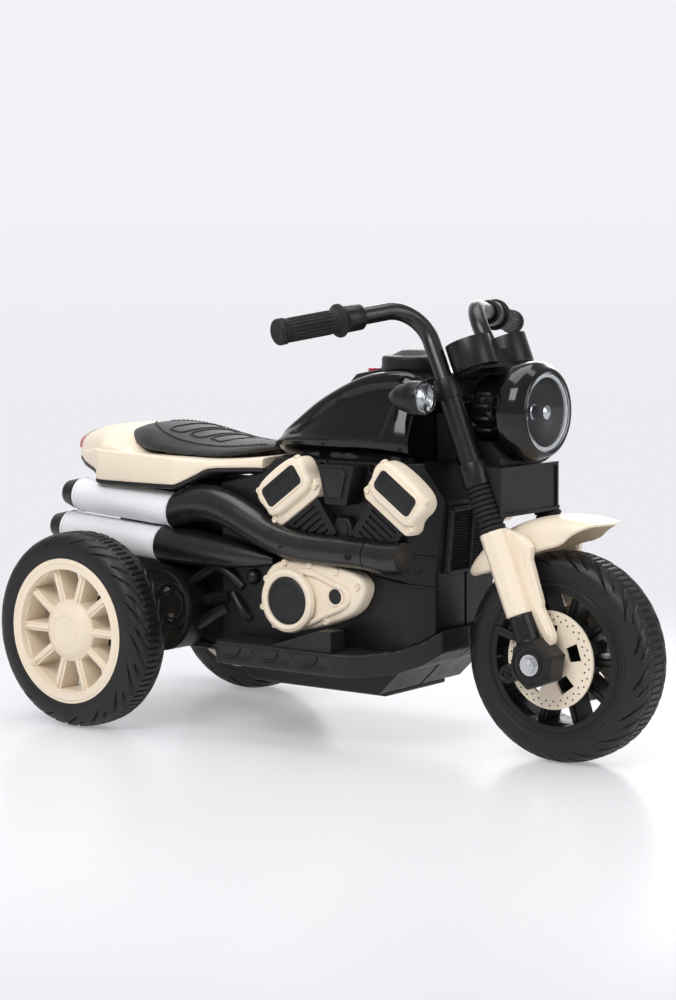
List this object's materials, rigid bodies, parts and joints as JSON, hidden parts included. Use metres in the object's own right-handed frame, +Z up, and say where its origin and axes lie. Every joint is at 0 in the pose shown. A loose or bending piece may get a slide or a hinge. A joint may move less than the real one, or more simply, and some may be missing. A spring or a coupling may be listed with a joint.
{
  "type": "kids electric motorbike",
  "caption": "Child's battery ride-on motorbike with a wide rear axle, steered front fork, padded seat, tank cover, dummy twin engine, exhausts and a foot pedal.",
  "frame": {"origin": "on the floor, under the middle of the whole bike", "axes": "+X forward along the bike, +Y to the rider's left, +Z up"},
  "size_m": [0.8544, 0.4796, 0.5192],
  "materials": {
    "black_matte": "fine satin grain",
    "black_gloss": "high gloss",
    "cream": "satin moulded",
    "silver_white": "pearl silver",
    "seat_leather": "stitched grained",
    "tyre_black": "moulded tread",
    "rubber_black": "ribbed",
    "clear_lens": "clear",
    "red_lens": "translucent red",
    "red_button": "gloss",
    "reflector": "plated",
    "steel": "zinc plated",
    "nylon": "natural nylon",
    "battery_case": "matte"
  },
  "bodies": {
    "chassis": {"body_shell_right": "black_matte", "body_shell_left": "black_matte", "belly_pan": "black_matte", "radiator_grille": "black_matte", "footboard_left": "black_matte", "footboard_right": "black_matte", "fuel_tank_cover": "black_gloss", "dash_panel": "black_matte", "seat_pad": "seat_leather", "tail_cover": "cream", "tail_edging": "black_matte", "tail_light": "red_lens", "mufflers": "silver_white", "muffler_caps": "black_matte", "exhaust_headers": "black_matte", "cylinder_blocks": "black_matte", "head_covers": "cream", "engine_trims": "black_matte", "engine_covers": "cream", "air_boxes": "black_matte", "axle_housing_left": "black_matte", "gearbox_housing_right": "black_matte", "rear_axle": "steel", "drive_motor": "steel", "battery": "battery_case", "steering_head": "black_matte", "steering_bushes": "nylon"},
    "steering": {"lower_clamp": "black_matte", "upper_clamp": "black_matte", "steering_shaft": "steel", "fork_tubes": "black_matte", "fork_gaiters": "rubber_black", "fork_sliders": "cream", "axle_carriers": "black_matte", "front_axle": "steel", "front_fender": "cream", "headlight_housing": "black_matte", "headlight_bezel": "black_gloss", "headlight_lens": "clear_lens", "headlight_reflector": "reflector", "gauge_cluster": "black_matte", "turn_signals": "black_matte", "turn_signal_lenses": "clear_lens", "handlebars": "black_gloss", "grips": "rubber_black", "control_barrels": "black_matte"},
    "front_wheel": {"front_tyre": "tyre_black", "front_rim": "black_matte", "brake_discs": "cream"},
    "rear_wheel_right": {"rear_tyre_right": "tyre_black", "rear_rim_right": "cream", "hub_cap_right": "cream", "drive_gear": "nylon"},
    "rear_wheel_left": {"rear_tyre_left": "tyre_black", "rear_rim_left": "cream", "hub_cap_left": "cream"},
    "idler": {"idler_gear": "nylon"},
    "pinion": {"motor_pinion": "nylon"},
    "pedal": {"accelerator_pedal": "black_matte"},
    "button": {"power_button": "red_button"}
  },
  "joints": [
    {"name": "steering_turn", "type": "hinge", "parent": "chassis", "child": "steering", "pos_m": [0.27834, 0, 0.10869], "axis": [-0.3649, 0, 0.9311], "range_deg": [-20, 20]},
    {"name": "front_wheel_spin", "type": "hinge", "parent": "steering", "child": "front_wheel", "pos_m": [0.3072, 0, 0.12], "axis": [0, 1, 0], "continuous": true},
    {"name": "rear_wheel_right_spin", "type": "hinge", "parent": "chassis", "child": "rear_wheel_right", "pos_m": [-0.2898, -0.164, 0.12], "axis": [0, 1, 0], "continuous": true},
    {"name": "rear_wheel_left_spin", "type": "hinge", "parent": "chassis", "child": "rear_wheel_left", "pos_m": [-0.2898, 0.164, 0.12], "axis": [0, 1, 0], "continuous": true},
    {"name": "idler_spin", "type": "hinge", "parent": "chassis", "child": "idler", "pos_m": [-0.243, -0.075, 0.13612], "axis": [0, 1, 0], "continuous": true},
    {"name": "pinion_spin", "type": "hinge", "parent": "chassis", "child": "pinion", "pos_m": [-0.21605, -0.075, 0.14539], "axis": [0, 1, 0], "continuous": true},
    {"name": "pedal_press", "type": "hinge", "parent": "chassis", "child": "pedal", "pos_m": [-0.0073, -0.12, 0.113], "axis": [0, 1, 0], "range_deg": [0, 8], "stiffness_Nm_per_rad": 3, "springref_deg": -2.86},
    {"name": "button_press", "type": "slide", "parent": "chassis", "child": "button", "axis": [0, 0, -1], "range_m": [0, 0.002], "stiffness_N_per_m": 400, "springref_m": -0.0005}
  ],
  "couplings": [
    {"joint": "idler_spin", "follows": "rear_wheel_right_spin", "ratio": -1.5385},
    {"joint": "pinion_spin", "follows": "rear_wheel_right_spin", "ratio": 3.3333}
  ]
}
